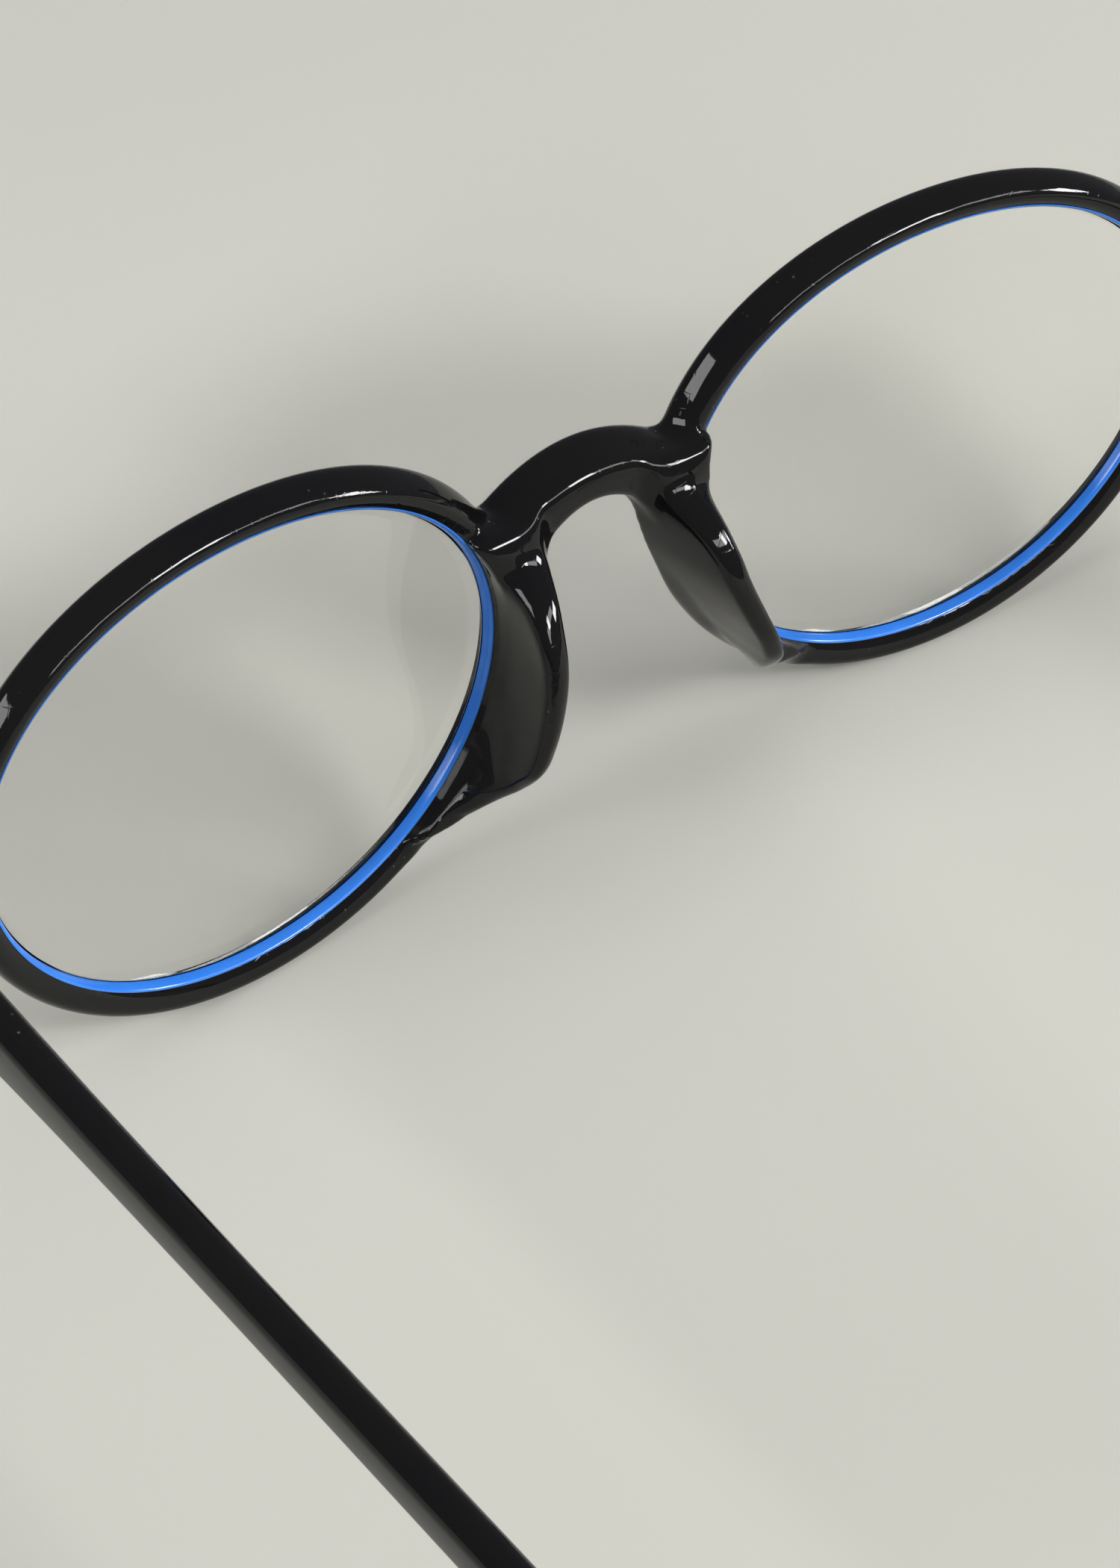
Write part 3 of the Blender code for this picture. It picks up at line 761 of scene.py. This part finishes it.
def make_screw(side):
    x, y, top = side * AXIS_X, AXIS_Y, END_Z + 2.7
    shaft = rod_mesh((x, y, END_Z - 2.5), (x, y, top + 0.1), SCREW_R, 32, 0.08)
    screw = new_object(f"screw_{side_word(side)}", *shaft)
    head = rod_mesh((x, y, top), (x, y, top + SCREW_HEAD_H), SCREW_HEAD_R, 40, 0.12)
    slot = box_mesh((x - 2, y - SLOT_HALF_W, top + 0.32), (x + 2, y + SLOT_HALF_W, top + 2))
    combine(screw, [new_object("head", *head)], "UNION")
    combine(screw, [new_object("slot", *slot)], "DIFFERENCE")
    shade(screw, 30)
    return screw


def make_front_rivet(side, place, x):
    face = float(np.interp(x, *END_TABLES[0])) - 0.05
    shaft = rod_mesh((side * x, face, END_Z), (side * x, END_REAR_Y - 0.7, END_Z), RIVET_R, 32, 0.06)
    rivet = new_object(f"front_rivet_{place}_pin_{side_word(side)}", *shaft)
    shade(rivet, 30)
    return rivet


def make_temple_rivet(side, place, along):
    turn = temple_matrix(side)
    inner = turn @ Vector((side * (TEMPLE_X - TEMPLE_T / 2 + 0.7), along, 0))
    outer = turn @ Vector((side * (TEMPLE_X + TEMPLE_T / 2 + 0.04), along, 0))
    shaft = rod_mesh(inner, outer, RIVET_R, 32, 0.06)
    rivet = new_object(f"temple_rivet_{place}_pin_{side_word(side)}", *shaft)
    shade(rivet, 30)
    return rivet


# ---------------------------------------------------------------- materials


def node_material(name):
    made = bpy.data.materials.new(name)
    made.use_nodes = True
    return made, made.node_tree, made.node_tree.nodes["Principled BSDF"]


def add(tree, kind, **values):
    node = tree.nodes.new(kind)
    for key, value in values.items():
        if key.startswith("in_"):
            node.inputs[key[3:].replace("_", " ")].default_value = value
        else:
            setattr(node, key, value)
    return node


def ramp(tree, source, stops):
    """A colour ramp fed by source; stops are (position, grey or colour)."""
    node = tree.nodes.new("ShaderNodeValToRGB")
    elements = node.color_ramp.elements
    while len(elements) < len(stops):
        elements.new(0.5)
    for element, (at, value) in zip(elements, stops):
        element.position = at
        element.color = (*value, 1) if isinstance(value, tuple) else (value, value, value, 1)
    tree.links.new(source, node.inputs["Fac"])
    return node.outputs["Color"]


def surface_coords(tree, scale):
    place = add(tree, "ShaderNodeTexCoord")
    mapping = add(tree, "ShaderNodeMapping")
    mapping.inputs["Scale"].default_value = scale
    tree.links.new(place.outputs["Object"], mapping.inputs["Vector"])
    return mapping.outputs["Vector"]


def noise(tree, scale, detail=3.0, stretch=(1, 1, 1)):
    node = add(tree, "ShaderNodeTexNoise", in_Scale=scale, in_Detail=detail)
    tree.links.new(surface_coords(tree, stretch), node.inputs["Vector"])
    return node.outputs["Fac"]


def specks(tree, scale, size):
    """Small round dots, one at each cell's point: 1 on a dot and 0 elsewhere."""
    node = add(tree, "ShaderNodeTexVoronoi", in_Scale=scale)
    tree.links.new(surface_coords(tree, (1, 1, 1)), node.inputs["Vector"])
    return ramp(tree, node.outputs["Distance"], [(0.0, 1.0), (size, 0.0)])


def math_node(tree, operation, a, b):
    node = add(tree, "ShaderNodeMath", operation=operation)
    for socket, value in zip(node.inputs, (a, b)):
        if isinstance(value, (int, float)):
            socket.default_value = value
        else:
            tree.links.new(value, socket)
    return node.outputs["Value"]


def bump(tree, shader, height, strength, distance):
    node = add(tree, "ShaderNodeBump", in_Strength=strength, in_Distance=distance)
    tree.links.new(height, node.inputs["Height"])
    tree.links.new(node.outputs["Normal"], shader.inputs["Normal"])


def scratches(tree):
    """Fine crossing hairlines, thin and broken: 1 on a line."""
    lines = None
    for turn, scale in ((0.4, 260.0), (1.3, 330.0), (2.4, 210.0)):
        wave = add(tree, "ShaderNodeTexWave", in_Scale=scale, in_Distortion=6.0, in_Detail=1.0)
        wave.inputs["Detail Scale"].default_value = 0.35
        place = add(tree, "ShaderNodeTexCoord")
        mapping = add(tree, "ShaderNodeMapping")
        mapping.inputs["Rotation"].default_value = (turn, turn * 0.7, turn)
        tree.links.new(place.outputs["Object"], mapping.inputs["Vector"])
        tree.links.new(mapping.outputs["Vector"], wave.inputs["Vector"])
        line = ramp(tree, wave.outputs["Fac"], [(0.985, 0.0), (1.0, 1.0)])
        broken = ramp(tree, noise(tree, 420.0 + 60 * turn, 2.0), [(0.54, 0.0), (0.6, 1.0)])
        line = math_node(tree, "MULTIPLY", line, broken)
        lines = line if lines is None else math_node(tree, "MAXIMUM", lines, line)
    return lines


def black_acetate():
    made, tree, shader = node_material("polished_black_acetate")
    patches = ramp(tree, noise(tree, 90.0), [(0.58, 0.0), (0.68, 1.0)])
    dust = math_node(tree, "MULTIPLY", specks(tree, 900.0, 0.13), patches)
    tone = ramp(tree, noise(tree, 60.0), [(0.3, (0.0032, 0.0032, 0.0036)), (0.7, (0.005, 0.0048, 0.0048))])
    mix = add(tree, "ShaderNodeMix", data_type="RGBA")
    tree.links.new(math_node(tree, "MULTIPLY", dust, 0.55), mix.inputs["Factor"])
    tree.links.new(tone, mix.inputs[6])
    mix.inputs[7].default_value = (0.28, 0.27, 0.25, 1)
    tree.links.new(mix.outputs[2], shader.inputs["Base Color"])
    lines = scratches(tree)
    haze = ramp(tree, noise(tree, 110.0, 4.0), [(0.35, 0.025), (0.7, 0.065)])
    rough = math_node(tree, "ADD", haze, math_node(tree, "MULTIPLY", lines, 0.1))
    rough = math_node(tree, "ADD", rough, math_node(tree, "MULTIPLY", dust, 0.4))
    tree.links.new(rough, shader.inputs["Roughness"])
    ripple = math_node(tree, "MULTIPLY", noise(tree, 130.0, 2.0), 0.1)
    height = math_node(tree, "ADD", ripple, math_node(tree, "MULTIPLY", dust, 0.4))
    height = math_node(tree, "SUBTRACT", height, math_node(tree, "MULTIPLY", lines, 0.15))
    bump(tree, shader, height, 0.14, 0.00012)
    shader.inputs["IOR"].default_value = 1.45
    shader.inputs["Specular IOR Level"].default_value = 0.32
    return made


def blue_plastic():
    made, tree, shader = node_material("glossy_blue_liner")
    tone = ramp(tree, noise(tree, 160.0), [(0.3, (0.02, 0.16, 0.62)), (0.7, (0.03, 0.2, 0.74))])
    tree.links.new(tone, shader.inputs["Base Color"])
    tree.links.new(ramp(tree, noise(tree, 240.0), [(0.3, 0.1), (0.7, 0.2)]), shader.inputs["Roughness"])
    bump(tree, shader, noise(tree, 500.0), 0.15, 0.00006)
    return made


def lens_plastic():
    made, tree, shader = node_material("coated_clear_lens")
    shader.inputs["Base Color"].default_value = (0.985, 0.99, 0.975, 1)
    shader.inputs["Transmission Weight"].default_value = 1.0
    shader.inputs["IOR"].default_value = 1.5
    smudge = ramp(tree, noise(tree, 70.0, 4.0), [(0.45, 0.0), (0.75, 0.05)])
    dust = math_node(tree, "MULTIPLY", specks(tree, 260.0, 0.05), 0.3)
    tree.links.new(math_node(tree, "ADD", smudge, dust), shader.inputs["Roughness"])
    bump(tree, shader, noise(tree, 60.0), 0.02, 0.00005)
    return made


def hinge_steel():
    made, tree, shader = node_material("brushed_hinge_steel")
    shader.inputs["Metallic"].default_value = 1.0
    streaks = noise(tree, 2600.0, 4.0, (1, 1, 14))
    tone = ramp(tree, streaks, [(0.3, (0.5, 0.5, 0.5)), (0.7, (0.62, 0.62, 0.63))])
    tree.links.new(tone, shader.inputs["Base Color"])
    grain = noise(tree, 3600.0, 3.0, (1, 1, 18))
    tree.links.new(ramp(tree, grain, [(0.3, 0.2), (0.7, 0.38)]), shader.inputs["Roughness"])
    bump(tree, shader, grain, 0.25, 0.00004)
    return made


def core_wire_steel():
    made, tree, shader = node_material("drawn_core_wire")
    shader.inputs["Metallic"].default_value = 1.0
    grain = noise(tree, 1200.0, 3.0, (1, 0.1, 1))
    tone = ramp(tree, grain, [(0.3, (0.42, 0.42, 0.43)), (0.7, (0.55, 0.55, 0.56))])
    tree.links.new(tone, shader.inputs["Base Color"])
    tree.links.new(ramp(tree, grain, [(0.3, 0.3), (0.7, 0.45)]), shader.inputs["Roughness"])
    bump(tree, shader, grain, 0.2, 0.00003)
    return made


def floor_paint():
    made, tree, shader = node_material("pale_floor")
    tone = ramp(tree, noise(tree, 3.0), [(0.3, (0.5, 0.492, 0.442)), (0.7, (0.53, 0.522, 0.472))])
    tree.links.new(tone, shader.inputs["Base Color"])
    shader.inputs["Roughness"].default_value = 0.75
    return made


def dress(item, made):
    item.data.materials.clear()
    item.data.materials.append(made)


# ---------------------------------------------------------------- the object


def build_object():
    acetate, blue, clear = black_acetate(), blue_plastic(), lens_plastic()
    steel, wire = hinge_steel(), core_wire_steel()

    def place(piece, body, slot, made, *nodes):
        dress(piece, made)
        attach(piece, body)
        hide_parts(*nodes)

    place(make_front(), "front", "black_acetate", acetate, "frame_front")
    for side in (1, -1):
        word = side_word(side)
        body = word + "_temple"
        place(make_lens(side), "front", "clear_lens", clear, "lens_" + word)
        place(make_ring(side), "front", "blue_ring", blue, "lens_ring_" + word)
        place(make_leaf(side, False), "front", "hinge_steel", steel, "front_hinge_leaf_" + word)
        place(make_screw(side), "front", "hinge_steel", steel, "hinge_screw_" + word)
        for spot, x in zip(("inner", "outer"), FRONT_RIVETS):
            rivet = make_front_rivet(side, spot, x)
            place(rivet, "front", "hinge_steel", steel, f"front_rivet_{spot}_{word}")
        place(make_temple(side), body, "black_acetate", acetate, "temple_" + word)
        place(make_leaf(side, True), body, "hinge_steel", steel, "temple_hinge_leaf_" + word)
        for spot, along in zip(("front", "rear"), TEMPLE_RIVETS):
            rivet = make_temple_rivet(side, spot, along)
            place(rivet, body, "hinge_steel", steel, f"temple_rivet_{spot}_{word}")
        dress(frame["nodes"]["core_wire_" + word], wire)


# ---------------------------------------------------------------- floor, light and camera

CAMERA_PLACE = (143.085, 223.966, 213.749)
CAMERA_RIGHT = (-0.82406, 0.56363, -0.05708)
CAMERA_FORWARD = (-0.3916, -0.63953, -0.66155)
CAMERA_LENS = 97.975


def add_camera():
    forward = Vector(CAMERA_FORWARD).normalized()
    right = Vector(CAMERA_RIGHT)
    right = (right - forward * right.dot(forward)).normalized()
    up = right.cross(forward)
    turn = Matrix((right, up, -forward)).transposed()
    place = (STAND.to_3x3().normalized() @ turn).to_4x4()
    place.translation = STAND @ Vector(CAMERA_PLACE)
    data = bpy.data.cameras.new("camera")
    data.sensor_width = 36.0
    data.lens = CAMERA_LENS
    data.clip_start = 0.01
    camera = bpy.data.objects.new("camera", data)
    camera.matrix_world = place
    bpy.context.scene.collection.objects.link(camera)
    bpy.context.scene.camera = camera


def add_light(name, place, target, size, power, colour=(1, 1, 1)):
    data = bpy.data.lights.new(name, "AREA")
    data.shape = "RECTANGLE"
    data.size, data.size_y = size
    data.energy = power
    data.color = colour
    lamp = bpy.data.objects.new(name, data)
    lamp.location = place
    lamp.rotation_euler = (Vector(target) - Vector(place)).to_track_quat("-Z", "Y").to_euler()
    bpy.context.scene.collection.objects.link(lamp)
    return lamp


# Soft boxes round the table: name, azimuth, elevation, distance, size, power
LAMPS = (
    ("rear_window", math.radians(116), math.radians(37), 1.4, (0.36, 0.27), 10.0),
    ("rear_band", math.radians(112), math.radians(36), 1.5, (1.8, 0.2), 10.0),
    ("side_window", math.radians(154), math.radians(21), 1.4, (0.3, 0.24), 8.0),
    ("left_panel", math.radians(-4), math.radians(33), 1.4, (0.7, 0.45), 8.0),
)


def add_stage():
    points = [(-4, -4, 0), (4, -4, 0), (4, 4, 0), (-4, 4, 0)]
    floor = new_object("floor", points, [(0, 1, 2, 3)], in_stand=False)
    dress(floor, floor_paint())
    world = bpy.data.worlds.new("room")
    world.use_nodes = True
    background = world.node_tree.nodes["Background"]
    background.inputs["Color"].default_value = (0.9, 0.93, 1.0, 1)
    background.inputs["Strength"].default_value = 0.24
    bpy.context.scene.world = world
    for name, azimuth, elevation, distance, size, power in LAMPS:
        flat = distance * math.cos(elevation)
        place = (flat * math.cos(azimuth), flat * math.sin(azimuth), distance * math.sin(elevation))
        add_light(name, place, (0, -0.06, 0.02), size, power)
    ceiling = add_light("ceiling", (0, 0, 3.0), (0, 0, 0), (5.0, 5.0), 35.0, (1.0, 0.99, 0.95))
    ceiling.visible_glossy = False


add_camera()
add_stage()
build_object()
bpy.context.scene.view_settings.view_transform = "Standard"
